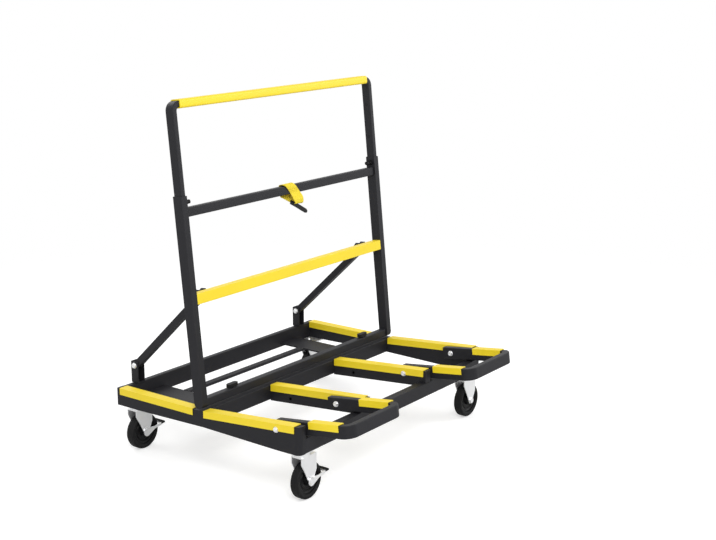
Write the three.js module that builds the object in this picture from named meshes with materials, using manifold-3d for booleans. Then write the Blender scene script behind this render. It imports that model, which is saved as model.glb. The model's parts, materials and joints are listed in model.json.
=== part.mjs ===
// Folding cart for sheet goods: a wheeled base, a leaning back frame and two pull-out deck extensions.
// Millimetres, +Z up. X runs along the cart, the front (where sheets are loaded) faces -Y.
import * as THREE from "three";
import { mergeVertices } from "three/addons/utils/BufferGeometryUtils.js";
import Module from "manifold-3d";

const wasm = await Module();
wasm.setup();

// Clearances and shared sizes
const FIT = 0.3; // gap between pieces that touch
const GLIDE = 0.5; // gap between pieces that slide or turn
const WALL = 2; // tube wall
const TUBE_ROUND = 3; // outside corner radius of the tubes
const SKIN = 2.5; // thickness of the yellow covers
const OVERRUN = 5; // how far a cutting shape runs past what it cuts
const ROUND_STEPS = 3; // facets in a rounded tube corner
const CIRCLE_STEPS = 20; // facets in a bolt or bore
const BEND_STEPS = 6; // facets in a quarter bend

// Base
const BASE_LENGTH = 1060;
const BASE_DEPTH = 806;
const BASE_CORNER = 18; // plan radius of the front corners
const REAR_CORNER = 4;
const BASE_BOTTOM = 171;
const BASE_ARCH = 6; // rise of the side rails' lower edge at mid depth
const BASE_FLAT = 100; // flat length of that edge over each caster
const RAIL_WIDTH = 30;
const DECK_HEIGHT = 234; // top of the covers on the level rear half
const DECK_TILT = 4.7; // degrees by which the front half rises
const DRAIN_RADIUS = 5;
const FRONT_RAIL_DEPTH = 30;
const FRONT_RAIL_DROP = 13; // below the deck at mid depth
const REAR_RAIL_DEPTH = 20;
const MID_DEPTH = 40; // crossmember at mid depth
const MID_BOTTOM = 178;
const DECK_RAIL_CENTRE = 179;
const DECK_RAIL_HEIGHT = 56;
const WEB_HOLE_RADIUS = 6;
const WEB_HOLE_BACK = 89; // distance of the hole from mid depth
const REAR_PLATE_INSET = 161; // its centre from the end of the base
const REAR_PLATE_WIDTH = 100;
const REAR_PLATE_TOP = 188;
const REAR_PLATE_THICK = 6;
const TIE_DEPTH = 25;
const TIE_HEIGHT = 12;
const TIE_INSET = 123; // from the back of the base
const COVER_DROP = 24; // how far a cover reaches down the rail's sides
const REAR_COVER_START = 46; // behind mid depth
const REAR_COVER_SHORT = 17; // cover ends stop short of the base's back and front
const FRONT_COVER_START = 3; // in front of mid depth
const SIDE_COVER_SHORT = 21;
const DECK_COVER_SHORT = 10;
const GUIDE_BOLT_INSET = 93; // guide bolts, from the front of the base
const GUIDE_BOLT_DROP = 20; // below the covers' top
const GUIDE_HEAD_RADIUS = 7.5;
const GUIDE_HEAD_HEIGHT = 6;
const GUIDE_NOTCH = 10; // radius of the notch a cover leaves for a bolt head

// Back frame
const LEAN = 5.55; // degrees from upright
const POST_WIDTH = 25;
const POST_DEPTH = 38;
const POST_INSET = 14; // post centre from the end of the base
const POST_TOP = 700; // along the post
const FOOT_PIN_RADIUS = 6;
const FOOT_TUBE_DEPTH = 25;
const FOOT_TUBE_HEIGHT = 28;
const MID_BAR_LOW = 631;
const MID_BAR_HEIGHT = 30;
const MID_BAR_DEPTH = 25;
const MID_BAR_SET_BACK = 6;
const LOW_BAR_LOW = 349;
const LOW_BAR_HEIGHT = 30;
const LOW_BAR_DEPTH = 34;
const LOW_BAR_SET_BACK = 3;
const LOW_COVER_DEPTH = 31;
const LATCH_INSET = 165; // from the end of the base
const LATCH_LENGTH = 48;
const LATCH_DEPTH = 18;
const LATCH_HEIGHT = 12;
const LATCH_STEM_RADIUS = 5;
const LATCH_LIFT = 3; // grip stands this far above the foot tube
const LOCK_DROP = 22; // pins, below the posts' top
const LOCK_HOUSING_RADIUS = 10;
const LOCK_HOUSING_LENGTH = 12;
const LOCK_KNOB_RADIUS = 7;
const LOCK_KNOB_LENGTH = 14;
const LOCK_STEM_RADIUS = 3.5;
const STRAP_CENTRE = 26;
const STRAP_WIDTH = 50;
const STRAP_THICK = 2.4;
const STRAP_TAIL_DROP = 68;
const STRAP_TAIL_SHIFT = 34;
const STRAP_TAIL_REACH = 26;

// Telescoping upper frame
const UPPER_WIDTH = 20;
const UPPER_DEPTH = 33;
const UPPER_LOW = 570; // lower end of the legs, along the post
const UPPER_BAR_CENTRE = 989;
const UPPER_BEND = 22; // bend radius of the tube's centre line
const UPPER_HOLE_RADIUS = 4;
const UPPER_HOLES = [776, 896];
const SLEEVE_THICK = 4.2;

// Braces
const BRACE_WIDTH = 25;
const BRACE_THICK = 23;
const BRACE_INSET = 91; // from the end of the base
const BRACE_LOW_INSET = 12; // lower pivot from the back of the base
const BRACE_LOW_RISE = 59; // lower pivot above the deck
const BRACE_TOP_ALONG = 350; // upper pivot, along the post
const BRACE_TOP_DEPTH = 57; // upper pivot, behind the front of the post
const BRACE_BOLT_RADIUS = 5;
const BRACE_HEAD_RADIUS = 8;
const BRACE_HEAD_HEIGHT = 5;
const BRACE_POST_WALL = 3;
const BRACE_POST_DEPTH = 32;
const BRACE_POST_PROUD = 4; // behind the back of the base
const BRACE_POST_HEIGHT = 74; // above the deck
const EAR_THICK = 4;
const EAR_TOP = 33; // above the upper pivot
const EAR_BACK = 14; // behind it
const EAR_LIP = 9; // below it
const EAR_RELIEF = 8.5; // from the pivot to the lip
const EAR_WEB_LOW = 12; // lower edge of the bracket's web above the pivot

// Deck extensions
const ARM_TILT = 7.2; // degrees
const ARM_WIDTH = 25;
const ARM_HEIGHT = 42;
const ARM_GAP = 7; // between an arm and the cover beside it
const ARM_REAR_INSET = 126; // rear end of the arms from the front of the base
const ARM_REAR_RISE = 20.5; // its top above the level deck
const EXT_LENGTH = 288;
const EXT_CORNER = 40;
const EXT_BAR_DEPTH = 27;
const ARM_COVER_START = 130;
const ARM_COVER_END = 247;
const ARM_COVER_DROP = 20;
const ARM_BOLT_ALONG = 33;
const ARM_BOLT_DROP = 21;

// Casters
const CASTER_INSET_X = 56; // swivel axis from the end of the base
const CASTER_INSET_Y = 38; // and from its front or back
const TRAIL = 20;
const WHEEL_RADIUS = 62.5;
const TYRE_WIDTH = 32;
const TYRE_DEPTH = 16;
const TYRE_ROUND = 6;
const HUB_WIDTH = 30;
const HUB_DISH = 8;
const HUB_RIM = 8;
const HUB_BOSS_RADIUS = 17;
const HUB_BOSS_WIDTH = 36;
const WHEEL_STEPS = 32;
const AXLE_RADIUS = 6;
const AXLE_HEAD_RADIUS = 10;
const AXLE_HEAD_HEIGHT = 5;
const FORK_THICK = 3;
const FORK_CROWN = 150; // top of the fork's crown
const FORK_CROWN_HALF = 26; // the crown's reach ahead of the swivel
const FORK_CROWN_BACK = 48; // and behind it, over the wheel
const FORK_SHOULDER = 128; // where the legs start to narrow ahead
const FORK_HEEL = 96; // and behind
const FORK_EYE = 12; // half width of a leg at the axle
const RACE_RADIUS = 27;
const RACE_TOP = 165.5;
const PLATE_THICK = 4.5;
const PLATE_LENGTH = 98;
const PLATE_DEPTH = 76;
const PLATE_BOLT_RADIUS = 6;
const PLATE_BOLT_HEIGHT = 5;
const PEDAL_CLEAR = 3.5; // tread beyond the tyre
const PEDAL_LENGTH = 16; // of the tread
const PEDAL_RISE = 13.5; // tread above the axle
const PEDAL_WIDTH = 44;
const PEDAL_THICK = 4;
const PEDAL_EYE = 16; // radius of the eye round the axle's head
const PEDAL_LEAVE = 50; // where the arm's edges leave the eye, degrees from level
const PEDAL_WAIST = 34; // narrowest place of the arm, beyond the axle
const PEDAL_NECK = 10; // height of the arm there and beside the tread

// Derived places
const rad = THREE.MathUtils.degToRad;
const half = (value) => value / 2;
const HALF_LENGTH = half(BASE_LENGTH);
const HALF_DEPTH = half(BASE_DEPTH);
const REAR_PLATE_CENTRE = HALF_LENGTH - REAR_PLATE_INSET;
const TIE_CENTRE_Y = HALF_DEPTH - TIE_INSET;
const GUIDE_BOLT_BACK = HALF_DEPTH - GUIDE_BOLT_INSET;
const POST_CENTRE = HALF_LENGTH - POST_INSET;
const LATCH_CENTRE = HALF_LENGTH - LATCH_INSET;
const BRACE_CENTRE = HALF_LENGTH - BRACE_INSET;
const BRACE_LOW_Y = HALF_DEPTH - BRACE_LOW_INSET;
const BRACE_LOW_Z = DECK_HEIGHT + BRACE_LOW_RISE;
const BRACE_POST_REAR = HALF_DEPTH + BRACE_POST_PROUD;
const BRACE_POST_FRONT = BRACE_POST_REAR - BRACE_POST_DEPTH;
const BRACE_POST_TOP = DECK_HEIGHT + BRACE_POST_HEIGHT;
const ARM_REAR_Y = ARM_REAR_INSET - HALF_DEPTH;
const ARM_REAR_TOP = DECK_HEIGHT + ARM_REAR_RISE;
const CASTER_X = HALF_LENGTH - CASTER_INSET_X;
const CASTER_Y = HALF_DEPTH - CASTER_INSET_Y;
const RAIL_TOP = DECK_HEIGHT - SKIN - FIT;
const FRONT_RAIL_TOP = DECK_HEIGHT - FRONT_RAIL_DROP;
const LOCK_ALONG = POST_TOP - LOCK_DROP;
const PEDAL_INNER = WHEEL_RADIUS + PEDAL_CLEAR;
const PEDAL_TIP = PEDAL_INNER + PEDAL_LENGTH;
const PEDAL_HEIGHT = WHEEL_RADIUS + PEDAL_RISE;
const RAIL_INNER = HALF_LENGTH - RAIL_WIDTH;
const DECK_SLOPE = Math.tan(rad(DECK_TILT));
const COVER_HALF = half(RAIL_WIDTH) + FIT + SKIN;
const POST_INNER = POST_CENTRE - half(POST_WIDTH);
const FOOT_RADIUS = half(POST_DEPTH);
const FOOT_Z = DECK_HEIGHT + GLIDE + FOOT_RADIUS;
const FOOT_ALONG = (FOOT_Z - DECK_HEIGHT + FOOT_RADIUS * Math.sin(rad(LEAN))) / Math.cos(rad(LEAN));
const FOOT_Y = FOOT_ALONG * Math.sin(rad(LEAN)) + FOOT_RADIUS * Math.cos(rad(LEAN));
const deckRise = (y) => Math.max(0, -y) * DECK_SLOPE;

// Shapes
const BASES = {
  x: new THREE.Matrix4().makeBasis(
    new THREE.Vector3(0, 1, 0), new THREE.Vector3(0, 0, 1), new THREE.Vector3(1, 0, 0)),
  y: new THREE.Matrix4().makeBasis(
    new THREE.Vector3(0, 0, 1), new THREE.Vector3(1, 0, 0), new THREE.Vector3(0, 1, 0)),
  z: new THREE.Matrix4(),
};

function solid(geometry) {
  geometry.deleteAttribute("normal");
  geometry.deleteAttribute("uv");
  const merged = mergeVertices(geometry, 1e-4);
  return new wasm.Manifold(new wasm.Mesh({
    numProp: 3,
    vertProperties: new Float32Array(merged.attributes.position.array),
    triVerts: new Uint32Array(merged.index.array),
  }));
}

// A straight prism; the outline is (y, z), (x, z) or (x, y) for an axis of x, y or z.
function prism(axis, outline, from, to) {
  const points = outline.map(([a, b]) => (axis === "y" ? new THREE.Vector2(b, a) : new THREE.Vector2(a, b)));
  const settings = { depth: to - from, bevelEnabled: false };
  const geometry = new THREE.ExtrudeGeometry(new THREE.Shape(points), settings);
  geometry.translate(0, 0, from);
  geometry.applyMatrix4(BASES[axis]);
  return solid(geometry);
}

// Points on an arc about (u, v), angles in degrees.
function arc(u, v, radius, from, to, steps) {
  return Array.from({ length: steps + 1 }, (_, i) => {
    const angle = rad(from + ((to - from) * i) / steps);
    return [u + radius * Math.cos(angle), v + radius * Math.sin(angle)];
  });
}

function roundRect(u0, u1, v0, v1, radius, steps = ROUND_STEPS, far = radius) {
  return [
    ...arc(u1 - far, v1 - far, far, 0, 90, steps),
    ...arc(u0 + far, v1 - far, far, 90, 180, steps),
    ...arc(u0 + radius, v0 + radius, radius, 180, 270, steps),
    ...arc(u1 - radius, v0 + radius, radius, 270, 360, steps),
  ];
}

const circle = (u, v, radius) => arc(u, v, radius, 0, 360, CIRCLE_STEPS).slice(1);
const rod = (axis, u, v, radius, from, to) => prism(axis, circle(u, v, radius), from, to);
const block = (x0, x1, y0, y1, z0, z1) => prism("x", [[y0, z0], [y1, z0], [y1, z1], [y0, z1]], x0, x1);

// A rounded rectangular tube, open at both ends.
function tube(axis, u0, u1, v0, v1, from, to) {
  const outer = prism(axis, roundRect(u0, u1, v0, v1, TUBE_ROUND), from, to);
  const bore = roundRect(u0 + WALL, u1 - WALL, v0 + WALL, v1 - WALL, TUBE_ROUND - half(WALL));
  return outer.subtract(prism(axis, bore, from - OVERRUN, to + OVERRUN));
}

// A lathed body turned about a line along Y through (x, z).
function turned(profile, x, y, z) {
  const stretch = 1 / Math.cos(Math.PI / WHEEL_STEPS);
  const points = profile.map(([radius, along]) => new THREE.Vector2(radius * stretch, along));
  const geometry = new THREE.LatheGeometry(points, WHEEL_STEPS, Math.PI / WHEEL_STEPS);
  geometry.translate(x, y, z);
  return solid(geometry);
}

// Places a piece drawn in the back frame: x, depth behind the front face, distance along the post.
function onBack(body) {
  const turn = new THREE.Matrix4().makeRotationX(-rad(LEAN));
  turn.setPosition(0, 0, DECK_HEIGHT);
  return body.transform(turn.elements.slice());
}

// Places a piece drawn along an extension arm: x, minus the distance forward, height above its top.
function onArm(body) {
  const turn = new THREE.Matrix4().makeRotationX(-rad(ARM_TILT));
  turn.setPosition(0, ARM_REAR_Y, ARM_REAR_TOP);
  return body.transform(turn.elements.slice());
}

const mirrored = (body, side) => (side < 0 ? body.mirror([1, 0, 0]) : body);

// Looks
const PAINT = { color: 0x2e2e31, roughness: 0.5, metalness: 0.35 };
const YELLOW = { color: 0xf8d312, roughness: 0.5, metalness: 0 };
const ZINC = { color: 0xc8ccd0, roughness: 0.35, metalness: 0.9 };
const RUBBER = { color: 0x171718, roughness: 0.85, metalness: 0 };
const HUB = { color: 0x2a2b2d, roughness: 0.6, metalness: 0 };
const KNOB = { color: 0x19191a, roughness: 0.6, metalness: 0 };
const WEBBING = { color: 0xf3cf1c, roughness: 0.9, metalness: 0 };

const group = new THREE.Group();

function piece(name, body, look) {
  const { vertProperties, triVerts } = body.getMesh();
  const geometry = new THREE.BufferGeometry();
  geometry.setAttribute("position", new THREE.BufferAttribute(new Float32Array(vertProperties), 3));
  geometry.setIndex(new THREE.BufferAttribute(new Uint32Array(triVerts), 1));
  geometry.computeVertexNormals();
  const mesh = new THREE.Mesh(geometry, new THREE.MeshStandardMaterial(look));
  mesh.name = name;
  group.add(mesh);
}

// Side rails: level behind, rising in front, lower edge gently arched, corners rounded in plan
function sideOutline(inset, run) {
  const front = -HALF_DEPTH - run;
  const rear = HALF_DEPTH + run;
  const low = BASE_BOTTOM + inset;
  const flat = HALF_DEPTH - BASE_FLAT;
  return [[front, low], [-flat, low], [0, low + BASE_ARCH], [flat, low], [rear, low],
    [rear, RAIL_TOP - inset], [0, RAIL_TOP - inset], [front, RAIL_TOP - inset + deckRise(front)]];
}

function planSlab(extra) {
  const x = HALF_LENGTH + extra;
  const y = HALF_DEPTH + extra;
  const outline = roundRect(-x, x, -y, y, BASE_CORNER + extra, BEND_STEPS, REAR_CORNER + extra);
  return prism("z", outline, 0, DECK_HEIGHT * 2);
}

const guideBoltZ = DECK_HEIGHT + deckRise(-GUIDE_BOLT_BACK) - GUIDE_BOLT_DROP;

function guideHead(x) {
  return rod("x", -GUIDE_BOLT_BACK, guideBoltZ, GUIDE_HEAD_RADIUS, x - GUIDE_HEAD_HEIGHT, x + half(WALL));
}

function sideRail(side) {
  const outer = prism("x", sideOutline(0, 0), RAIL_INNER, HALF_LENGTH).intersect(planSlab(0));
  const cavity = prism("x", sideOutline(WALL, 0), RAIL_INNER + WALL, HALF_LENGTH - WALL);
  const between = prism("y", [[0, 0], [BASE_LENGTH, 0], [BASE_LENGTH, BASE_LENGTH], [0, BASE_LENGTH]],
    -HALF_DEPTH + BASE_CORNER + WALL, HALF_DEPTH - BASE_CORNER - WALL);
  const drain = rod("z", HALF_LENGTH - half(RAIL_WIDTH), HALF_DEPTH - BASE_FLAT * 2, DRAIN_RADIUS,
    0, BASE_BOTTOM + BASE_ARCH + WALL + OVERRUN);
  const rail = mirrored(outer.subtract(cavity.intersect(between)).subtract(drain), side);
  return side < 0 ? rail.add(guideHead(-HALF_LENGTH)) : rail;
}

piece("side_rail_left", sideRail(-1), PAINT);
piece("side_rail_right", sideRail(1), PAINT);

// Cross members between the side rails
const crossEnd = RAIL_INNER - FIT;
piece("front_rail", tube("x", -HALF_DEPTH, -HALF_DEPTH + FRONT_RAIL_DEPTH, BASE_BOTTOM, FRONT_RAIL_TOP,
  -crossEnd, crossEnd), PAINT);
piece("rear_rail", tube("x", HALF_DEPTH - REAR_RAIL_DEPTH, HALF_DEPTH, BASE_BOTTOM, RAIL_TOP,
  -crossEnd, crossEnd), PAINT);
piece("mid_crossmember", tube("x", 0, MID_DEPTH, MID_BOTTOM, RAIL_TOP, -crossEnd, crossEnd), PAINT);

// Inner deck rails: butt the mid crossmember and sit over the front rail
function deckRail(side) {
  const rear = -FIT;
  const front = -HALF_DEPTH;
  const seat = FRONT_RAIL_TOP + FIT;
  const step = -HALF_DEPTH + FRONT_RAIL_DEPTH + FIT;
  const low = RAIL_TOP - DECK_RAIL_HEIGHT;
  const outline = [[rear, low + deckRise(rear)], [rear, RAIL_TOP + deckRise(rear)],
    [front, RAIL_TOP + deckRise(front)], [front, seat], [step, seat], [step, low + deckRise(step)]];
  const x0 = DECK_RAIL_CENTRE - half(RAIL_WIDTH);
  const x1 = DECK_RAIL_CENTRE + half(RAIL_WIDTH);
  const cavity = [[rear + OVERRUN, low + WALL], [rear + OVERRUN, RAIL_TOP - WALL],
    [step + WALL, RAIL_TOP - WALL + deckRise(step)], [step + WALL, low + WALL + deckRise(step)]];
  const webHole = rod("x", -WEB_HOLE_BACK, low + half(DECK_RAIL_HEIGHT) - half(COVER_DROP)
    + deckRise(-WEB_HOLE_BACK), WEB_HOLE_RADIUS, x0 - OVERRUN, x1 + OVERRUN);
  const rail = mirrored(prism("x", outline, x0, x1)
    .subtract(prism("x", cavity, x0 + WALL, x1 - WALL)).subtract(webHole), side);
  return side > 0 ? rail.add(guideHead(x0)) : rail;
}

piece("deck_rail_left", deckRail(-1), PAINT);
piece("deck_rail_right", deckRail(1), PAINT);

// Flat plates and tie bar in the rear half
function rearPlate(side) {
  const x0 = REAR_PLATE_CENTRE - half(REAR_PLATE_WIDTH);
  const x1 = REAR_PLATE_CENTRE + half(REAR_PLATE_WIDTH);
  const outline = roundRect(x0, x1, MID_DEPTH + FIT, HALF_DEPTH - REAR_RAIL_DEPTH - FIT, half(TUBE_ROUND));
  return mirrored(prism("z", outline, REAR_PLATE_TOP - REAR_PLATE_THICK, REAR_PLATE_TOP), side);
}

piece("rear_plate_left", rearPlate(-1), PAINT);
piece("rear_plate_right", rearPlate(1), PAINT);
const tieEnd = REAR_PLATE_CENTRE - half(REAR_PLATE_WIDTH) - FIT;
const tieTop = REAR_PLATE_TOP + half(TUBE_ROUND);
piece("tie_bar", tube("x", TIE_CENTRE_Y - half(TIE_DEPTH), TIE_CENTRE_Y + half(TIE_DEPTH),
  tieTop - TIE_HEIGHT, tieTop, -tieEnd, tieEnd), PAINT);

// Covers: a channel over the top and both sides of a rail
function cover(centre, start, end, notched) {
  const line = (offset) => [start, end].map((y) => [y, DECK_HEIGHT + deckRise(y) + offset]);
  const strip = (top, low, run) => {
    const [a, b] = line(top);
    const [c, d] = line(low);
    const grow = ([y, z], by) => [y + by, z - by * (a[1] === b[1] ? 0 : DECK_SLOPE)];
    return [grow(a, -run), grow(b, run), grow(d, run), grow(c, -run)];
  };
  const outer = prism("x", strip(0, -COVER_DROP, 0), centre - COVER_HALF, centre + COVER_HALF);
  const inner = prism("x", strip(-SKIN, -COVER_DROP - OVERRUN, OVERRUN),
    centre - COVER_HALF + SKIN, centre + COVER_HALF - SKIN);
  const shell = outer.subtract(inner).intersect(planSlab(FIT + SKIN));
  if (!notched) return shell;
  return shell.subtract(rod("x", -GUIDE_BOLT_BACK, guideBoltZ, GUIDE_NOTCH,
    centre - COVER_HALF - OVERRUN, centre - half(RAIL_WIDTH)));
}

const sideCentre = HALF_LENGTH - half(RAIL_WIDTH);
const rearRailFront = HALF_DEPTH - REAR_RAIL_DEPTH - FIT;
const rearRailRoom = block(-RAIL_INNER, RAIL_INNER, rearRailFront, BASE_DEPTH, 0, RAIL_TOP + FIT);

function rearCover(side) {
  const shell = cover(side * sideCentre, REAR_COVER_START, HALF_DEPTH - REAR_COVER_SHORT, false);
  return shell.subtract(rearRailRoom);
}

piece("rear_cover_left", rearCover(-1), YELLOW);
piece("rear_cover_right", rearCover(1), YELLOW);

function frontCover(centre, short, notched) {
  return cover(centre, short - HALF_DEPTH, -FRONT_COVER_START, notched);
}

piece("side_cover_left", frontCover(-sideCentre, SIDE_COVER_SHORT, true), YELLOW);
piece("side_cover_right", frontCover(sideCentre, SIDE_COVER_SHORT, false), YELLOW);
piece("deck_cover_left", frontCover(-DECK_RAIL_CENTRE, DECK_COVER_SHORT, false), YELLOW);
piece("deck_cover_right", frontCover(DECK_RAIL_CENTRE, DECK_COVER_SHORT, true), YELLOW);

// Brace posts: channels open to the front and top, with the lower brace bolts
const bracePostHalf = half(BRACE_WIDTH) + GLIDE + BRACE_POST_WALL;

function bracePost(side) {
  const outer = block(BRACE_CENTRE - bracePostHalf, BRACE_CENTRE + bracePostHalf, BRACE_POST_FRONT,
    BRACE_POST_REAR, RAIL_TOP + FIT, BRACE_POST_TOP);
  const inside = bracePostHalf - BRACE_POST_WALL;
  const channel = block(BRACE_CENTRE - inside, BRACE_CENTRE + inside, BRACE_POST_FRONT - OVERRUN,
    BRACE_POST_REAR - BRACE_POST_WALL, RAIL_TOP + FIT + BRACE_POST_WALL, BRACE_POST_TOP + OVERRUN);
  const bolt = rod("x", BRACE_LOW_Y, BRACE_LOW_Z, BRACE_BOLT_RADIUS,
    BRACE_CENTRE - bracePostHalf - half(BRACE_HEAD_HEIGHT), BRACE_CENTRE + bracePostHalf);
  const head = (from) => {
    return rod("x", BRACE_LOW_Y, BRACE_LOW_Z, BRACE_HEAD_RADIUS, from, from + BRACE_HEAD_HEIGHT);
  };
  const leftHead = head(BRACE_CENTRE - bracePostHalf - BRACE_HEAD_HEIGHT);
  const rightHead = head(BRACE_CENTRE + bracePostHalf);
  return mirrored(outer.subtract(channel).add(bolt).add(leftHead).add(rightHead), side);
}

piece("brace_post_left", bracePost(-1), PAINT);
piece("brace_post_right", bracePost(1), PAINT);

// Braces: tubes with rounded ends, lower bore on the post's bolt, upper bolt held by the tube
const topY = BRACE_TOP_ALONG * Math.sin(rad(LEAN)) + BRACE_TOP_DEPTH * Math.cos(rad(LEAN));
const topZ = DECK_HEIGHT + BRACE_TOP_ALONG * Math.cos(rad(LEAN)) - BRACE_TOP_DEPTH * Math.sin(rad(LEAN));
const braceLength = Math.hypot(BRACE_LOW_Y - topY, topZ - BRACE_LOW_Z);
const braceAngle = Math.atan2(topZ - BRACE_LOW_Z, BRACE_LOW_Y - topY);
const bracketHalf = half(BRACE_WIDTH) + GLIDE + EAR_THICK;

function brace(side) {
  const radius = half(BRACE_THICK);
  const x0 = BRACE_CENTRE - half(BRACE_WIDTH);
  const x1 = BRACE_CENTRE + half(BRACE_WIDTH);
  const outline = roundRect(-radius, braceLength + radius, -radius, radius, radius - half(FIT), BEND_STEPS);
  const hollow = [[-BRACE_THICK, -radius + WALL], [braceLength + BRACE_THICK, -radius + WALL],
    [braceLength + BRACE_THICK, radius - WALL], [-BRACE_THICK, radius - WALL]];
  const bore = rod("x", 0, 0, BRACE_BOLT_RADIUS + FIT, x0 - OVERRUN, x1 + OVERRUN);
  const reach = bracketHalf + GLIDE;
  const boltHalf = reach + half(BRACE_HEAD_HEIGHT);
  const bolt = rod("x", braceLength, 0, BRACE_BOLT_RADIUS - GLIDE,
    BRACE_CENTRE - boltHalf, BRACE_CENTRE + boltHalf);
  const head = (from) => rod("x", braceLength, 0, BRACE_HEAD_RADIUS, from, from + BRACE_HEAD_HEIGHT);
  const body = prism("x", outline, x0, x1).subtract(prism("x", hollow, x0 + WALL, x1 - WALL)).subtract(bore)
    .add(bolt).add(head(BRACE_CENTRE - reach - BRACE_HEAD_HEIGHT)).add(head(BRACE_CENTRE + reach));
  const turn = new THREE.Matrix4().makeRotationX(Math.PI - braceAngle);
  turn.setPosition(0, BRACE_LOW_Y, BRACE_LOW_Z);
  return mirrored(body.transform(turn.elements.slice()), side);
}

piece("brace_left", brace(-1), PAINT);
piece("brace_right", brace(1), PAINT);

// Foot tube: slides on the base and carries the posts' pivot pins and the latch grips
const footTop = FOOT_Z + half(FOOT_TUBE_HEIGHT) - half(TUBE_ROUND);
const footLow = footTop - FOOT_TUBE_HEIGHT;
const footEnd = POST_INNER - GLIDE;

function footTube() {
  const body = tube("x", FOOT_Y - half(FOOT_TUBE_DEPTH), FOOT_Y + half(FOOT_TUBE_DEPTH), footLow, footTop,
    -footEnd, footEnd);
  const plug = (side) => mirrored(block(footEnd - FOOT_TUBE_DEPTH, footEnd,
    FOOT_Y - half(FOOT_TUBE_DEPTH) + half(WALL), FOOT_Y + half(FOOT_TUBE_DEPTH) - half(WALL),
    footLow + half(WALL), footTop - half(WALL))
    .add(rod("x", FOOT_Y, FOOT_Z, FOOT_PIN_RADIUS, footEnd - FOOT_TUBE_DEPTH, POST_CENTRE)), side);
  const stemHole = (side) => rod("z", side * LATCH_CENTRE, FOOT_Y, LATCH_STEM_RADIUS + GLIDE,
    footLow - OVERRUN, footTop + OVERRUN);
  return body.add(plug(1)).add(plug(-1)).subtract(stemHole(1)).subtract(stemHole(-1));
}

piece("foot_tube", footTube(), PAINT);

function latchGrip(side) {
  const low = footTop + LATCH_LIFT;
  const grip = prism("z", roundRect(LATCH_CENTRE - half(LATCH_LENGTH), LATCH_CENTRE + half(LATCH_LENGTH),
    FOOT_Y - half(LATCH_DEPTH), FOOT_Y + half(LATCH_DEPTH), half(LATCH_DEPTH) - FIT, BEND_STEPS),
  low, low + LATCH_HEIGHT);
  const stem = rod("z", LATCH_CENTRE, FOOT_Y, LATCH_STEM_RADIUS, footLow + WALL, low + half(LATCH_HEIGHT));
  return mirrored(grip.add(stem), side);
}

piece("latch_grip_left", latchGrip(-1), KNOB);
piece("latch_grip_right", latchGrip(1), KNOB);

// Back posts: rectangular tubes with rounded feet that turn on the foot tube's pins
function backPost(side) {
  const x0 = POST_INNER;
  const x1 = POST_INNER + POST_WIDTH;
  const foot = arc(FOOT_RADIUS, FOOT_ALONG, FOOT_RADIUS, 180, 360, CIRCLE_STEPS);
  const outline = [...foot, [POST_DEPTH, POST_TOP], [0, POST_TOP]];
  const bore = block(x0 + WALL, x1 - WALL, WALL, POST_DEPTH - WALL,
    FOOT_ALONG + FOOT_RADIUS, POST_TOP + OVERRUN);
  const pinHole = rod("x", FOOT_RADIUS, FOOT_ALONG, FOOT_PIN_RADIUS + FIT,
    x0 - OVERRUN, POST_CENTRE + GLIDE);
  const lockHole = rod("x", half(POST_DEPTH), LOCK_ALONG, LOCK_STEM_RADIUS + FIT,
    x0 - OVERRUN, x0 + WALL + OVERRUN);
  const post = prism("x", outline, x0, x1).subtract(bore).subtract(pinHole).subtract(lockHole);
  return mirrored(onBack(post), side);
}

piece("back_post_left", backPost(-1), PAINT);
piece("back_post_right", backPost(1), PAINT);

// Cross bars between the posts
const barEnd = POST_INNER - FIT;
piece("mid_crossbar", onBack(tube("x", MID_BAR_SET_BACK, MID_BAR_SET_BACK + MID_BAR_DEPTH,
  MID_BAR_LOW, MID_BAR_LOW + MID_BAR_HEIGHT, -barEnd, barEnd)), PAINT);
piece("lower_crossbar", onBack(tube("x", LOW_BAR_SET_BACK, LOW_BAR_SET_BACK + LOW_BAR_DEPTH,
  LOW_BAR_LOW, LOW_BAR_LOW + LOW_BAR_HEIGHT, -barEnd, barEnd)), PAINT);

function lowerCover() {
  const grow = FIT + SKIN;
  const low = LOW_BAR_LOW - grow;
  const high = LOW_BAR_LOW + LOW_BAR_HEIGHT + grow;
  const face = LOW_BAR_SET_BACK - grow;
  const section = roundRect(face, face + LOW_COVER_DEPTH, low, high, half(TUBE_ROUND));
  const outer = prism("x", section, -barEnd, barEnd);
  const inner = block(-barEnd - OVERRUN, barEnd + OVERRUN, face + SKIN, face + LOW_COVER_DEPTH + OVERRUN,
    low + SKIN, high - SKIN);
  return onBack(outer.subtract(inner));
}

piece("lower_cover", lowerCover(), YELLOW);

// Brackets behind the lower cross bar: two hooked ears and a web
function braceBracket(side) {
  const face = LOW_BAR_SET_BACK + LOW_BAR_DEPTH + FIT;
  const pivotHole = BRACE_BOLT_RADIUS + FIT;
  const s = BRACE_TOP_ALONG;
  const d = BRACE_TOP_DEPTH;
  const mouth = arc(d, s, pivotHole, 0, 180, BEND_STEPS);
  const outline = [[d + EAR_RELIEF, s - EAR_LIP], ...mouth, [d - pivotHole, s + half(EAR_WEB_LOW)],
    [face, s + half(EAR_WEB_LOW)], [face, s + EAR_TOP], [d, s + EAR_TOP], [d + EAR_BACK, s + half(EAR_TOP)],
    [d + EAR_BACK, s - EAR_LIP]];
  const ears = [-1, 1].map((hand) => {
    const inner = BRACE_CENTRE + hand * (bracketHalf - EAR_THICK);
    const outer = BRACE_CENTRE + hand * bracketHalf;
    return prism("x", outline, Math.min(inner, outer), Math.max(inner, outer));
  });
  const web = block(BRACE_CENTRE - bracketHalf, BRACE_CENTRE + bracketHalf, face, face + EAR_THICK,
    s + EAR_WEB_LOW, s + EAR_TOP);
  return mirrored(onBack(web.add(ears[0]).add(ears[1])), side);
}

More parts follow.
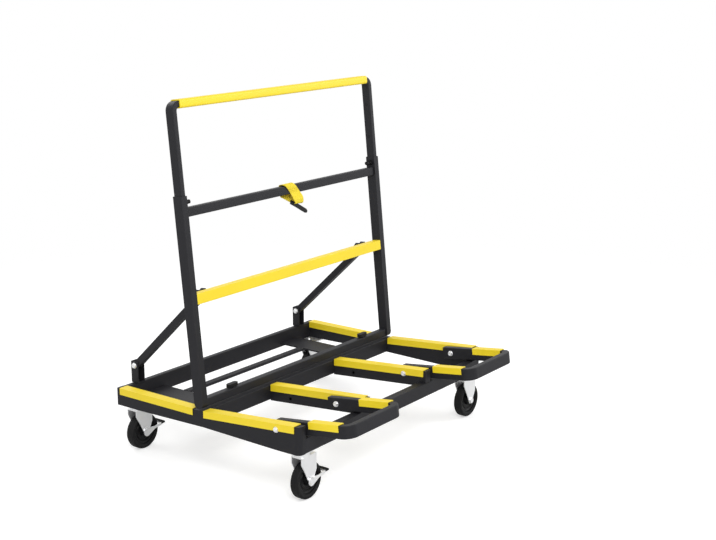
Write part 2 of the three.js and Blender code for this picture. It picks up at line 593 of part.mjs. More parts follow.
piece("brace_bracket_left", braceBracket(-1), PAINT);
piece("brace_bracket_right", braceBracket(1), PAINT);

// Spring pins that hold the upper frame, on the inner faces of the posts
function lockPin(side) {
  const face = POST_INNER - FIT;
  const d = half(POST_DEPTH);
  const housing = rod("x", d, LOCK_ALONG, LOCK_HOUSING_RADIUS, face - LOCK_HOUSING_LENGTH, face);
  const knobEnd = face - LOCK_HOUSING_LENGTH - LOCK_KNOB_LENGTH;
  const knob = rod("x", d, LOCK_ALONG, LOCK_KNOB_RADIUS, knobEnd, face);
  const stem = rod("x", d, LOCK_ALONG, LOCK_STEM_RADIUS, face - half(FIT), POST_INNER + half(WALL));
  return mirrored(onBack(housing.add(knob).add(stem)), side);
}

piece("lock_pin_left", lockPin(-1), KNOB);
piece("lock_pin_right", lockPin(1), KNOB);

// Strap: a webbing loop round the mid cross bar with a hanging tail
function strap() {
  const x0 = STRAP_CENTRE - half(STRAP_WIDTH);
  const x1 = STRAP_CENTRE + half(STRAP_WIDTH);
  const d0 = MID_BAR_SET_BACK - GLIDE;
  const d1 = MID_BAR_SET_BACK + MID_BAR_DEPTH + GLIDE;
  const s0 = MID_BAR_LOW - GLIDE;
  const s1 = MID_BAR_LOW + MID_BAR_HEIGHT + GLIDE;
  const loop = prism("x", roundRect(d0 - STRAP_THICK, d1 + STRAP_THICK, s0 - STRAP_THICK, s1 + STRAP_THICK,
    TUBE_ROUND + STRAP_THICK), x0, x1)
    .subtract(prism("x", roundRect(d0, d1, s0, s1, TUBE_ROUND), x0 - OVERRUN, x1 + OVERRUN));
  const fall = s0 + half(MID_BAR_HEIGHT) - STRAP_TAIL_DROP;
  const tail = prism("x", [
    [d0, s0 + half(MID_BAR_HEIGHT)],
    [d0 - STRAP_THICK, s0 + half(MID_BAR_HEIGHT)],
    [d0 - half(STRAP_TAIL_REACH) - STRAP_THICK, s0 - half(STRAP_THICK)],
    [d0 - STRAP_TAIL_REACH - STRAP_THICK, fall],
    [d0 - STRAP_TAIL_REACH, fall],
    [d0 - half(STRAP_TAIL_REACH), s0],
  ], x0, x1);
  const lean = new THREE.Matrix4().set(1, 0, -STRAP_TAIL_SHIFT / STRAP_TAIL_DROP,
    ((s0 + half(MID_BAR_HEIGHT)) * STRAP_TAIL_SHIFT) / STRAP_TAIL_DROP, 0, 1, 0, 0, 0, 0, 1, 0, 0, 0, 0, 1);
  return onBack(loop.add(tail.transform(lean.elements.slice())));
}

piece("strap", strap(), WEBBING);

// Upper frame: one bent tube whose legs slide in the posts
function upperPath(inset) {
  const end = POST_CENTRE;
  const top = UPPER_BAR_CENTRE;
  const w = half(UPPER_WIDTH) - inset;
  const bend = (radius) => arc(end - UPPER_BEND, top - UPPER_BEND, radius, 0, 90, BEND_STEPS);
  const low = UPPER_LOW - inset;
  const outer = [[end + w, low], ...bend(UPPER_BEND + w)];
  const inner = [[end - w, low], ...bend(UPPER_BEND - w)];
  const flip = (points) => points.map(([x, s]) => [-x, s]).reverse();
  return [...outer, ...flip(outer), ...flip(inner).reverse(), ...inner.slice().reverse()];
}

function upperFrame() {
  const d0 = half(POST_DEPTH) - half(UPPER_DEPTH);
  const d1 = d0 + UPPER_DEPTH;
  const outer = prism("y", upperPath(0), d0, d1);
  const bore = prism("y", upperPath(WALL), d0 + WALL, d1 - WALL);
  const holes = UPPER_HOLES.flatMap((along) => [-1, 1].map((side) => {
    const x = side * (POST_CENTRE - half(UPPER_WIDTH));
    return rod("x", half(POST_DEPTH), along, UPPER_HOLE_RADIUS, x - OVERRUN, x + OVERRUN);
  }));
  return onBack(holes.reduce((body, hole) => body.subtract(hole), outer.subtract(bore)));
}

piece("upper_frame", upperFrame(), PAINT);

function topSleeve() {
  const end = POST_CENTRE - UPPER_BEND;
  const grow = FIT + SLEEVE_THICK;
  const d0 = half(POST_DEPTH) - half(UPPER_DEPTH);
  const d1 = half(POST_DEPTH) + half(UPPER_DEPTH);
  const s0 = UPPER_BAR_CENTRE - half(UPPER_WIDTH);
  const s1 = UPPER_BAR_CENTRE + half(UPPER_WIDTH);
  const section = roundRect(d0 - grow, d1 + grow, s0 - grow, s1 + grow, TUBE_ROUND + grow);
  const outer = prism("x", section, -end, end);
  const bore = block(-end - OVERRUN, end + OVERRUN, d0 - FIT, d1 + FIT, s0 - FIT, s1 + FIT);
  return onBack(outer.subtract(bore));
}

piece("top_sleeve", topSleeve(), YELLOW);

// Deck extensions: flat U frames of tube with covered arms
const extOuter = RAIL_INNER - FIT - SKIN - ARM_GAP;
const extInner = DECK_RAIL_CENTRE + COVER_HALF + ARM_GAP;

function extOutline(inset, run) {
  const front = -EXT_LENGTH + inset;
  const a = extInner + inset;
  const b = extOuter - inset;
  const r = EXT_CORNER - inset;
  const armIn = ARM_WIDTH - 2 * inset;
  const inside = EXT_CORNER - EXT_BAR_DEPTH + inset;
  const back = -EXT_LENGTH + EXT_BAR_DEPTH - inset + inside;
  return [
    [a, run],
    ...arc(a + r, front + r, r, 180, 270, BEND_STEPS),
    ...arc(b - r, front + r, r, 270, 360, BEND_STEPS),
    [b, run],
    [b - armIn, run],
    ...arc(b - armIn - inside, back, inside, 360, 270, BEND_STEPS),
    ...arc(a + armIn + inside, back, inside, 270, 180, BEND_STEPS),
    [a + armIn, run],
  ];
}

function extensionFrame(side) {
  const outer = prism("z", extOutline(0, 0), -ARM_HEIGHT, 0);
  const bore = prism("z", extOutline(WALL, OVERRUN), -ARM_HEIGHT + WALL, -WALL);
  const frame = mirrored(outer.subtract(bore), side);
  const face = side < 0 ? -extInner - ARM_WIDTH : extOuter - ARM_WIDTH;
  const head = rod("x", -ARM_BOLT_ALONG, -ARM_BOLT_DROP, GUIDE_HEAD_RADIUS,
    face - GUIDE_HEAD_HEIGHT, face + half(WALL));
  return onArm(frame.add(head));
}

function armCover(side, armInner) {
  const grow = FIT + SKIN;
  const x0 = armInner - grow;
  const x1 = armInner + ARM_WIDTH + grow;
  const outer = block(x0, x1, -ARM_COVER_END, -ARM_COVER_START, -ARM_COVER_DROP, grow);
  const inner = block(x0 + SKIN, x1 - SKIN, -ARM_COVER_END - OVERRUN, -ARM_COVER_START + OVERRUN,
    -ARM_COVER_DROP - OVERRUN, FIT);
  return onArm(mirrored(outer.subtract(inner), side));
}

for (const [hand, side] of [["left", -1], ["right", 1]]) {
  piece(`extension_frame_${hand}`, extensionFrame(side), PAINT);
  piece(`extension_cover_outer_${hand}`, armCover(side, extOuter - ARM_WIDTH), YELLOW);
  piece(`extension_cover_inner_${hand}`, armCover(side, extInner), YELLOW);
}

// Casters: plate on the base, swivelling fork, tyre and hub, and brake pedals on the left pair
function tyreProfile() {
  const w = half(TYRE_WIDTH);
  const inner = WHEEL_RADIUS - TYRE_DEPTH;
  const outer = WHEEL_RADIUS;
  const r = TYRE_ROUND;
  return [[inner, -w + r], ...arc(outer - r, -w + r, r, -90, 0, ROUND_STEPS),
    ...arc(outer - r, w - r, r, 0, 90, ROUND_STEPS), [inner, w - r], [inner, -w + r]];
}

function hubProfile() {
  const w = half(HUB_WIDTH) - TYRE_ROUND;
  const rim = WHEEL_RADIUS - TYRE_DEPTH - FIT;
  const boss = half(HUB_BOSS_WIDTH);
  const bore = AXLE_RADIUS + FIT;
  const dish = w - HUB_DISH;
  return [[bore, -boss], [HUB_BOSS_RADIUS, -boss], [HUB_BOSS_RADIUS + WALL, -dish], [rim - HUB_RIM, -dish],
    [rim - half(HUB_RIM), -w], [rim, -w], [rim, w], [rim - half(HUB_RIM), w], [rim - HUB_RIM, dish],
    [HUB_BOSS_RADIUS + WALL, dish], [HUB_BOSS_RADIUS, boss], [bore, boss], [bore, -boss]];
}

const legGap = half(HUB_BOSS_WIDTH) + GLIDE;

function fork(x, y) {
  const eye = x + TRAIL;
  const leg = [[x - FORK_CROWN_HALF, FORK_CROWN], [x - FORK_CROWN_HALF, FORK_SHOULDER],
    ...arc(eye, WHEEL_RADIUS, FORK_EYE, 180, 360, BEND_STEPS),
    [x + FORK_CROWN_BACK, FORK_HEEL], [x + FORK_CROWN_BACK, FORK_CROWN]];
  const near = prism("y", leg, y - legGap - FORK_THICK, y - legGap);
  const far = prism("y", leg, y + legGap, y + legGap + FORK_THICK);
  const crown = block(x - FORK_CROWN_HALF, x + FORK_CROWN_BACK, y - legGap - FORK_THICK,
    y + legGap + FORK_THICK, FORK_CROWN - FORK_THICK, FORK_CROWN);
  const race = rod("z", x, y, RACE_RADIUS, FORK_CROWN - half(FORK_THICK), RACE_TOP);
  const axle = rod("y", eye, WHEEL_RADIUS, AXLE_RADIUS,
    y - legGap - FORK_THICK - half(AXLE_HEAD_HEIGHT), y + legGap + FORK_THICK + half(AXLE_HEAD_HEIGHT));
  const head = (from) => rod("y", eye, WHEEL_RADIUS, AXLE_HEAD_RADIUS, from, from + AXLE_HEAD_HEIGHT);
  const nearHead = head(y - legGap - FORK_THICK - AXLE_HEAD_HEIGHT);
  const farHead = head(y + legGap + FORK_THICK);
  return near.add(far).add(crown).add(race).add(axle).add(nearHead).add(farHead);
}

function casterPlate(sx, sy) {
  const plateTop = BASE_BOTTOM - FIT;
  const x1 = HALF_LENGTH - half(RAIL_WIDTH) + half(FORK_EYE);
  const y1 = HALF_DEPTH - half(FORK_EYE);
  const plate = prism("z", roundRect(x1 - PLATE_LENGTH, x1, y1 - PLATE_DEPTH, y1, TUBE_ROUND * 2),
    plateTop - PLATE_THICK, plateTop);
  const nut = rod("z", CASTER_X, CASTER_Y, PLATE_BOLT_RADIUS,
    plateTop - half(PLATE_THICK), plateTop + PLATE_BOLT_HEIGHT);
  const body = plate.add(nut);
  return mirrored(sy < 0 ? body.mirror([0, 1, 0]) : body, sx);
}

function pedal(x, y) {
  const eye = x + TRAIL;
  const face = y - legGap - FORK_THICK - GLIDE;
  const outside = face - PEDAL_THICK;
  const w = half(PEDAL_THICK);
  const low = PEDAL_HEIGHT - w;
  const high = PEDAL_HEIGHT + w;
  const waist = WHEEL_RADIUS + ((PEDAL_HEIGHT - WHEEL_RADIUS) * PEDAL_WAIST) / PEDAL_TIP;
  const outline = [...arc(eye, WHEEL_RADIUS, PEDAL_EYE, PEDAL_LEAVE, 360 - PEDAL_LEAVE, CIRCLE_STEPS),
    [eye + PEDAL_WAIST, waist - half(PEDAL_NECK)], [eye + PEDAL_INNER, high - PEDAL_NECK],
    [eye + PEDAL_TIP, low], [eye + PEDAL_TIP, high], [eye + PEDAL_INNER, high],
    [eye + PEDAL_WAIST, waist + half(PEDAL_NECK)]];
  const arm = prism("y", outline, outside, face);
  const section = roundRect(outside, outside + PEDAL_WIDTH, low, high, w - FIT);
  const tread = prism("x", section, eye + PEDAL_INNER, eye + PEDAL_TIP);
  const bore = rod("y", eye, WHEEL_RADIUS, AXLE_HEAD_RADIUS + FIT, outside - OVERRUN, face + OVERRUN);
  return arm.add(tread).subtract(bore);
}

const corners = [["front_left", -1, -1], ["front_right", 1, -1], ["rear_left", -1, 1], ["rear_right", 1, 1]];
for (const [corner, sx, sy] of corners) {
  const x = sx * CASTER_X;
  const y = sy * CASTER_Y;
  piece(`caster_plate_${corner}`, casterPlate(sx, sy), ZINC);
  piece(`fork_${corner}`, fork(x, y), ZINC);
  piece(`tyre_${corner}`, turned(tyreProfile(), x + TRAIL, y, WHEEL_RADIUS), RUBBER);
  piece(`hub_${corner}`, turned(hubProfile(), x + TRAIL, y, WHEEL_RADIUS), HUB);
  if (sx < 0) piece(`brake_pedal_${corner}`, pedal(x, y), ZINC);
}

// The origin lies on the floor under the middle of the whole cart
const bounds = new THREE.Box3().setFromObject(group);
const middle = bounds.getCenter(new THREE.Vector3());
for (const mesh of group.children) mesh.geometry.translate(-middle.x, -middle.y, -bounds.min.z);

export default group;
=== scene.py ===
"""Sheet goods cart: finishes, rounded tubes, casters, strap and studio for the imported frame."""
import json
from math import cos, pi, radians, sin

import bmesh
import bpy
from bpy.props import FloatProperty, FloatVectorProperty, IntProperty, PointerProperty
from mathutils import Matrix, Vector

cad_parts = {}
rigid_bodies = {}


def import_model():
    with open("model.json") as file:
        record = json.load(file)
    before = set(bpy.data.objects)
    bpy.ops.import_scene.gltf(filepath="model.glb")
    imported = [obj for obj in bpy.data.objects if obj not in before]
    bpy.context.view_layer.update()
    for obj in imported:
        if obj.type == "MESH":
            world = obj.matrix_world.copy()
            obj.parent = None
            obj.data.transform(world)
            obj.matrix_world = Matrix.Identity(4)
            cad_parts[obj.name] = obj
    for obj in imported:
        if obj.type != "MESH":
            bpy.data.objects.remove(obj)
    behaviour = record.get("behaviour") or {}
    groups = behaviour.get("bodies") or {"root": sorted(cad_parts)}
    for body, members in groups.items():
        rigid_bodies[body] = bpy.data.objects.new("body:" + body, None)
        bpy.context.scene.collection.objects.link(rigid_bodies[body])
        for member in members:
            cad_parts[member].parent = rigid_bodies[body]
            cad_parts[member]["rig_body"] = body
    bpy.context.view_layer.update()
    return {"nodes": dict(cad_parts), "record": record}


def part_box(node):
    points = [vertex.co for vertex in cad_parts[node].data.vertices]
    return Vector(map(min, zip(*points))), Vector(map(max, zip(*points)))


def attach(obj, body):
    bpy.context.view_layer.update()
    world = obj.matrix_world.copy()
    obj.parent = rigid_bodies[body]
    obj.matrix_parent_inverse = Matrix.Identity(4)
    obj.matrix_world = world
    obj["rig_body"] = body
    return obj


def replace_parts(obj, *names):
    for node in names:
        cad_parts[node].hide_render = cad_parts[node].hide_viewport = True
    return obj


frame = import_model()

bl_info = {
    "name": "Sheet Goods Cart",
    "version": (1, 0, 0),
    "blender": (4, 5, 0),
    "location": "View3D > Sidebar > Cart",
    "description": "Dresses a folding sheet goods cart and sets up its studio",
    "category": "Object",
}

SLOTS = {part["node"]: part["material_slot"] for part in frame["record"]["subparts"]}
MM = 0.001
LEAN = radians(5.55)
ARM_TILT = radians(7.2)
CORNERS = ("front_left", "front_right", "rear_left", "rear_right")
HANDS = ("left", "right")

# Places in millimetres: x from the centre line, y from mid depth, z from the floor
DECK_HEIGHT = 234
ARM_ROOT_Y, ARM_ROOT_Z = -277, 254.5
RAIL_BOLT_Y, RAIL_BOLT_Z = -310, 239.5
RAIL_BOLT_X = (-530, 164)
ARM_BOLT_X = (-228.75, 465.25)
ARM_BOLT_OUT, ARM_BOLT_DROP = 33, 21
BRACE_X, BRACE_POST_Y, BRACE_POST_Z = 439, 391, 293

# Places on the leaning back frame in millimetres: depth behind its front, along its posts
BRACE_TOP_DEPTH, BRACE_TOP_ALONG = 57, 350
LEG_X, LEG_WIDTH, LEG_DEPTH = 516, 20, 19
HEIGHT_HOLES = (776, 896)

# Meshes: welding distance, the angle below which faces count as one, small radii, steps round a bend
WELD = 1e-6
FLAT = radians(0.6)
GRIP_ROUND, PEDAL_ROUND = 1.2 * MM, 0.6 * MM
BEND_STEPS = 10

# Studio: the camera in the base's millimetres, the lamps and the floor in metres and watts
CAMERA_PLACE, CAMERA_AIM = (-3453.8, -2802.8, 1683.9), (131.2, -134.5, 594.5)
LAMPS = (("key", (-3.4, -3.4, 3.8), 3.4, 180), ("fill", (3.6, -2.6, 2.6), 3.0, 70),
         ("back", (0.6, 3.8, 3.4), 3.0, 60))
LAMP_AIM = (0, 0, 0.5)
FLOOR_RADIUS, FLOOR_FADE = 7, (1.4, 3.2)
FLOOR_GLOW, WORLD_LIGHT = 0.46, 0.5

# The base's own centre line and mid depth, from which the photographed places are measured
BASE_X = (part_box("front_rail")[0].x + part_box("front_rail")[1].x) / 2
BASE_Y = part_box("mid_crossmember")[0].y


def base_point(x, y, z):
    """A point in millimetres from the base's centre line, mid depth and the floor."""
    return Vector((BASE_X + x * MM, BASE_Y + y * MM, z * MM))


# Sizes and colours

class CartFinish(bpy.types.PropertyGroup):
    """Colours of the cart's finishes."""
    paint: FloatVectorProperty(name="Frame paint", description="Charcoal powder coat", subtype="COLOR",
                               size=3, default=(0.0145, 0.0145, 0.0175), min=0, max=1)
    cover: FloatVectorProperty(name="Covers", description="Yellow moulded covers", subtype="COLOR",
                               size=3, default=(0.99, 0.745, 0.018), min=0, max=1)
    zinc: FloatVectorProperty(name="Zinc", description="Plated forks, plates and bolts", subtype="COLOR",
                              size=3, default=(0.93, 0.935, 0.945), min=0, max=1)
    rubber: FloatVectorProperty(name="Tyres", description="Black rubber", subtype="COLOR",
                                size=3, default=(0.005, 0.005, 0.0055), min=0, max=1)
    plastic: FloatVectorProperty(name="Hubs and grips", description="Black moulded plastic", subtype="COLOR",
                                 size=3, default=(0.006, 0.006, 0.0065), min=0, max=1)
    webbing: FloatVectorProperty(name="Webbing", description="Yellow strap", subtype="COLOR",
                                 size=3, default=(0.98, 0.755, 0.04), min=0, max=1)


class CartSizes(bpy.types.PropertyGroup):
    """Sizes of the rounded details."""
    tube_round: FloatProperty(name="Tube corner", description="Outside corner radius of bent tubes",
                              unit="LENGTH", default=3.2 * MM, min=0.5 * MM, max=6 * MM)
    edge_round: FloatProperty(name="Edge", description="Radius on cut and pressed edges",
                              unit="LENGTH", default=0.7 * MM, min=0.1 * MM, max=2 * MM)
    cover_round: FloatProperty(name="Cover edge", description="Radius on the covers' edges",
                               unit="LENGTH", default=0.7 * MM, min=0.2 * MM, max=2 * MM)
    wheel_steps: IntProperty(name="Wheel steps", description="Facets round a wheel",
                             default=96, min=32, max=160)
    lens: FloatProperty(name="Lens", description="Focal length of the studio camera",
                        subtype="DISTANCE_CAMERA", default=65.86, min=20, max=200)


def finish():
    return bpy.context.scene.cart_finish


def sizes():
    return bpy.context.scene.cart_sizes


# Shader helpers

class Wire:
    """An output socket that can be used in arithmetic."""

    def __init__(self, nodes, socket):
        self.nodes = nodes
        self.socket = socket

    def maths(self, operation, first, second):
        return self.nodes.make("ShaderNodeMath", {"operation": operation}, {0: first, 1: second})

    def __add__(self, other):
        return self.maths("ADD", self, other)

    def __radd__(self, other):
        return self.maths("ADD", other, self)

    def __sub__(self, other):
        return self.maths("SUBTRACT", self, other)

    def __rsub__(self, other):
        return self.maths("SUBTRACT", other, self)

    def __mul__(self, other):
        return self.maths("MULTIPLY", self, other)


class Nodes:
    """A node tree in which any node is made from its type, its settings and its sockets."""

    def __init__(self, tree):
        self.tree = tree
        self.tree.nodes.clear()

    def make(self, kind, settings=None, sockets=None, out=0):
        node = self.tree.nodes.new(kind)
        for key, value in (settings or {}).items():
            if key == "stops":
                while len(node.color_ramp.elements) < len(value):
                    node.color_ramp.elements.new(0.5)
                for element, (place, colour) in zip(node.color_ramp.elements, value):
                    element.position = place
                    element.color = (*colour, 1)
            else:
                setattr(node, key, value)
        for key, value in (sockets or {}).items():
            if isinstance(value, Wire):
                self.tree.links.new(value.socket, node.inputs[key])
            else:
                node.inputs[key].default_value = value
        return Wire(self, node.outputs[out]) if len(node.outputs) else node

    def place(self):
        return self.make("ShaderNodeTexCoord", out="Object")

    def noise(self, place, scale, detail=2.0, roughness=0.5):
        sockets = {"Vector": place, "Scale": scale, "Detail": detail, "Roughness": roughness}
        return self.make("ShaderNodeTexNoise", None, sockets)

    def blend(self, factor, first, second):
        sockets = {0: factor, 6: first, 7: second}
        return self.make("ShaderNodeMix", {"data_type": "RGBA"}, sockets, out=2)

    def ramp(self, value, low, high):
        stops = [(low, (0, 0, 0)), (high, (1, 1, 1))]
        return self.make("ShaderNodeValToRGB", {"stops": stops}, {"Fac": value})

    def bump(self, height, strength, distance):
        sockets = {"Height": height, "Strength": strength, "Distance": distance}
        return self.make("ShaderNodeBump", None, sockets)

    def surface(self, **sockets):
        named = {key.replace("_", " "): value for key, value in sockets.items()}
        shader = self.make("ShaderNodeBsdfPrincipled", None, named)
        self.make("ShaderNodeOutputMaterial", None, {"Surface": shader})


def material(name):
    """A new material and its empty tree."""
    made = bpy.data.materials.new(name)
    made.use_nodes = True
    return made, Nodes(made.node_tree)


def rgba(colour, gain=1.0):
    return (*(min(1.0, channel * gain) for channel in colour), 1.0)


def powder_coat(colour):
    """Charcoal powder coat: fine orange peel, faint cloudiness, and a painted highlight that makes the
    rounded edges lighter in noisy patches.
    """
    made, n = material("powder_coat")
    place = n.place()
    peel = n.noise(place, scale=1100, detail=2.0, roughness=0.55)
    cloud = n.noise(place, scale=7, detail=3.0)
    edge = n.make("ShaderNodeAttribute", {"attribute_name": "edge"}, out="Fac")
    speck = n.ramp(n.noise(place, scale=420, detail=1.0), low=0.66, high=0.74)
    # Painted highlight: the rounded edge faces are made lighter and a little glossier in noisy patches,
    # standing in for light on the edges.
    painted_edge_highlight = edge * n.ramp(n.noise(place, scale=60, detail=4.0, roughness=0.65), low=0.35, high=0.75)
    tone = n.blend(cloud, rgba(colour, 0.82), rgba(colour, 1.25))
    tone = n.blend(speck * 0.2, tone, rgba(colour, 2.4))
    tone = n.blend(painted_edge_highlight * 0.5, tone, rgba(colour, 3.2))
    rough = 0.4 + cloud * 0.14 + peel * 0.06 - painted_edge_highlight * 0.1
    n.surface(Base_Color=tone, Roughness=rough, Specular_IOR_Level=0.22,
              Normal=n.bump(peel, strength=0.22, distance=0.0006))
    return made


def cover_plastic(colour):
    """Yellow moulded covers: satin grain, slow colour drift, faint scuffs and a painted highlight on the
    rounded edges.
    """
    made, n = material("cover_plastic")
    place = n.place()
    grain = n.noise(place, scale=900, detail=2.0, roughness=0.6)
    drift = n.noise(place, scale=5, detail=2.0)
    scuff = n.ramp(n.noise(place, scale=38, detail=5.0, roughness=0.7), low=0.62, high=0.8)
    edge = n.make("ShaderNodeAttribute", {"attribute_name": "edge"}, out="Fac")
    tone = n.blend(drift, rgba(colour, 0.93), rgba(colour, 1.04))
    tone = n.blend(scuff * 0.12, tone, rgba((0.55, 0.42, 0.06)))
    # Painted highlight: the rounded edge faces are tinted a lighter yellow.
    tone = n.blend(edge * 0.18, tone, rgba((1.0, 0.8, 0.12)))
    rough = 0.42 + drift * 0.08 + scuff * 0.12
    n.surface(Base_Color=tone, Roughness=rough, Normal=n.bump(grain, strength=0.12, distance=0.0005))
    return made


def zinc_plate(colour):
    """Bright zinc plating: fine brushed haze, spangle and darker patches."""
    made, n = material("zinc_plate")
    place = n.place()
    haze = n.noise(place, scale=260, detail=3.0, roughness=0.6)
    spangle = n.make("ShaderNodeTexVoronoi", None, {"Vector": place, "Scale": 240})
    patch = n.noise(place, scale=24, detail=4.0, roughness=0.6)
    tone = n.blend(patch, rgba(colour, 0.9), rgba(colour, 1.06))
    tone = n.blend(n.ramp(patch, low=0.6, high=0.8) * 0.2, tone, rgba((0.76, 0.73, 0.64)))
    rough = 0.26 + haze * 0.14 + spangle * 0.08
    n.surface(Base_Color=tone, Roughness=rough, Metallic=0.8,
              Normal=n.bump(haze, strength=0.08, distance=0.0004))
    return made


def tyre_rubber(colour):
    """Solid rubber: matte, with a fine grain and a little dust."""
    made, n = material("tyre_rubber")
    place = n.place()
    fine = n.noise(place, scale=1300, detail=3.0, roughness=0.6)
    dust = n.ramp(n.noise(place, scale=32, detail=5.0, roughness=0.65), low=0.45, high=0.8)
    tone = n.blend(dust * 0.2, rgba(colour), rgba((0.05, 0.048, 0.045)))
    rough = 0.55 + dust * 0.2 + fine * 0.08
    n.surface(Base_Color=tone, Roughness=rough, Specular_IOR_Level=0.19,
              Normal=n.bump(fine, strength=0.2, distance=0.0005))
    return made


def black_plastic(name, colour, gloss):
    """Black moulded plastic with a spark-eroded grain."""
    made, n = material(name)
    place = n.place()
    grain = n.noise(place, scale=1500, detail=2.0, roughness=0.6)
    wear = n.ramp(n.noise(place, scale=70, detail=4.0, roughness=0.65), low=0.55, high=0.8)
    tone = n.blend(wear * 0.3, rgba(colour), rgba((0.04, 0.04, 0.042)))
    rough = gloss + wear * 0.15 + grain * 0.06
    n.surface(Base_Color=tone, Roughness=rough, Specular_IOR_Level=0.2,
              Normal=n.bump(grain, strength=0.18, distance=0.0004))
    return made


def strap_webbing(name, colour):
    """Woven webbing on the strap's own UV map: ribs across, fine yarn along, and darker along one edge of
    the band.
    """
    made, n = material(name)
    spread = n.make("ShaderNodeUVMap", {"uv_map": "weave"})
    across = n.make("ShaderNodeSeparateXYZ", None, {"Vector": spread}, out="X")
    ribs = n.make("ShaderNodeTexWave", {"bands_direction": "Y"},
                  {"Vector": spread, "Scale": 220.0, "Distortion": 0.3})
    yarn = n.make("ShaderNodeTexWave", {"bands_direction": "X"},
                  {"Vector": spread, "Scale": 160.0, "Distortion": 0.6})
    weave = ribs * 0.6 + yarn * 0.4
    soil = n.noise(spread, scale=60, detail=4.0, roughness=0.6)
    tone = n.blend(weave, rgba(colour, 0.84), rgba(colour, 1.08))
    tone = n.blend(n.ramp(soil, low=0.55, high=0.8) * 0.15, tone, rgba(colour, 0.7))
    # Darker within 4 mm of one edge of the band.
    darker_edge_band = n.ramp(across, low=0.0, high=0.004)
    tone = n.blend(darker_edge_band, rgba(colour, 0.7), tone)
    n.surface(Base_Color=tone, Roughness=0.85 - weave * 0.1,
              Normal=n.bump(weave, strength=0.5, distance=0.0006))
    return made


MATERIALS = {}


def looks():
    """The finishes by record slot, made once."""
    if not MATERIALS:
        colours = finish()
        MATERIALS["frame_paint"] = powder_coat(colours.paint)
        MATERIALS["cover_plastic"] = cover_plastic(colours.cover)
        MATERIALS["zinc"] = zinc_plate(colours.zinc)
        MATERIALS["tyre"] = tyre_rubber(colours.rubber)
        MATERIALS["hub"] = black_plastic("hub_plastic", colours.plastic, 0.36)
        MATERIALS["grip"] = black_plastic("grip_plastic", colours.plastic, 0.52)
        MATERIALS["webbing"] = strap_webbing("strap_webbing", colours.webbing)
    return MATERIALS


# Modelling helpers

def put(name, shape, body, slot, *replaced, smooth=38):
    """Makes the piece from its bmesh, gives it its finish and sets it on its body."""
    mesh = bpy.data.meshes.new(name)
    shape.to_mesh(mesh)
    shape.free()
    mesh.polygons.foreach_set("use_smooth", [True] * len(mesh.polygons))
    mesh.set_sharp_from_angle(angle=radians(smooth))
    piece = bpy.data.objects.new(name, mesh)
    bpy.context.scene.collection.objects.link(piece)
    mesh.materials.append(looks()[slot])
    weigh = piece.modifiers.new("Weighted normals", "WEIGHTED_NORMAL")
    weigh.keep_sharp = True
    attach(piece, body)
    if replaced:
        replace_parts(piece, *replaced)
    return piece


def body_of(node):
    return frame["nodes"][node]["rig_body"]


def round_edges(shape, radius, steps, angle=40):
    """Rounds the edges sharper than the angle and marks the new faces as edge faces."""
    edges = [e for e in shape.edges if e.is_manifold and e.calc_face_angle(0) > radians(angle)]
    layer = shape.faces.layers.float.get("edge") or shape.faces.layers.float.new("edge")
    if edges:
        made = bmesh.ops.bevel(shape, geom=edges, offset=radius, offset_type="OFFSET", affect="EDGES",
                               segments=steps, profile=0.5, material=-1, clamp_overlap=True)
        for face in made["faces"]:
            face[layer] = 1.0
    return shape


def merged_copy(node):
    """A welded copy of a node's mesh with its flat faces joined up."""
    shape = bmesh.new()
    shape.from_mesh(frame["nodes"][node].data)
    bmesh.ops.remove_doubles(shape, verts=shape.verts, dist=2 * WELD)
    bmesh.ops.dissolve_limit(shape, angle_limit=FLAT, use_dissolve_boundaries=False,
                             verts=shape.verts, edges=shape.edges, delimit=set())
    return shape


def softened(node, radius, steps=2):
    """The node's own shape with its sharp edges rounded."""
    shape = round_edges(merged_copy(node), radius, steps)
    return put(f"{node}_part", shape, body_of(node), SLOTS[node], node)


def turn_about(shape, verts, centre, axis, angle):
    """Turns the points about an axis through the centre."""
    bmesh.ops.rotate(shape, verts=verts, cent=centre, matrix=Matrix.Rotation(angle, 3, axis))


def rounded_section(shape, width, depth, radius, steps=3):
    """A rectangular tube section in the XY plane, as one face."""
    made = bmesh.ops.create_grid(shape, x_segments=1, y_segments=1, size=0.5)
    bmesh.ops.scale(shape, vec=(width, depth, 1), verts=made["verts"])
    corners = list(made["verts"])
    bmesh.ops.bevel(shape, geom=corners, offset=radius, offset_type="OFFSET", affect="VERTICES",
                    segments=steps, profile=0.5, material=-1, clamp_overlap=True)
    return shape.faces[:]


def pull(shape, faces, move):
    """Extrudes the faces by a vector and returns the faces at the new end."""
    made = bmesh.ops.extrude_face_region(shape, geom=faces)
    ends = [item for item in made["geom"] if isinstance(item, bmesh.types.BMFace)]
    verts = [item for item in made["geom"] if isinstance(item, bmesh.types.BMVert)]
    bmesh.ops.delete(shape, geom=[face for face in faces if face.is_valid], context="FACES_ONLY")
    bmesh.ops.translate(shape, vec=move, verts=verts)
    return ends


def bend(shape, faces, centre, axis, angle, steps):
    """Spins the end faces round a bend and returns the faces at its far end."""
    made = bmesh.ops.spin(shape, geom=faces, cent=centre, axis=axis, angle=angle, steps=steps,
                          use_merge=False, use_duplicate=False)
    ends = [item for item in made["geom_last"] if isinstance(item, bmesh.types.BMFace)]
    bmesh.ops.delete(shape, geom=[f for f in faces if f.is_valid], context="FACES_ONLY")
    return ends


def tidy(shape):
    """Welds the shape and turns its faces outward."""
    bmesh.ops.remove_doubles(shape, verts=shape.verts, dist=WELD)
    bmesh.ops.recalc_face_normals(shape, faces=shape.faces)
    return shape


